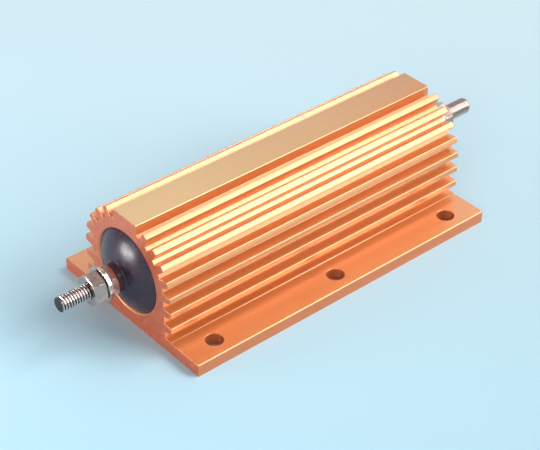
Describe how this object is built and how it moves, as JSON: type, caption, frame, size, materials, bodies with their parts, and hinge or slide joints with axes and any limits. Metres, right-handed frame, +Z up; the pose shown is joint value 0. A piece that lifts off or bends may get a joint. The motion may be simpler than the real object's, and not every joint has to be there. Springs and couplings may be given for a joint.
{
  "type": "aluminium housed power resistor",
  "caption": "Wirewound power resistor in a finned, gold anodised aluminium housing with drilled mounting flanges, black end caps and threaded stud terminals.",
  "frame": {"origin": "middle of the base's underside", "axes": "+X along the housing and its terminal axis, +Y across the base, +Z up from the base"},
  "size_m": [0.1806, 0.0724, 0.0418],
  "materials": {
    "anodised_aluminium": "satin, gold to orange anodised extrusion",
    "cap_moulding": "glossy dark purple-black moulding",
    "plated_stud": "bright nickel plate",
    "plated_nut": "bright nickel plate",
    "plated_washer": "bright nickel plate",
    "ferrule_steel": "plain drawn steel",
    "resistance_wire": "resistance wire under a thin cement coat",
    "core_ceramic": "unglazed white ceramic",
    "filling_cement": "cast cement"
  },
  "bodies": {
    "root": {"housing": "anodised_aluminium", "ceramic_core": "core_ceramic", "resistance_winding": "resistance_wire", "cement_filling": "filling_cement", "left_ferrule": "ferrule_steel", "right_ferrule": "ferrule_steel", "left_stud": "plated_stud", "right_stud": "plated_stud", "left_end_cap": "cap_moulding", "right_end_cap": "cap_moulding", "left_jam_nut": "plated_nut", "right_jam_nut": "plated_nut", "left_spring_washer": "plated_washer", "right_spring_washer": "plated_washer", "left_washer": "plated_washer", "right_washer": "plated_washer", "left_nut": "plated_nut", "right_nut": "plated_nut"}
  },
  "joints": []
}
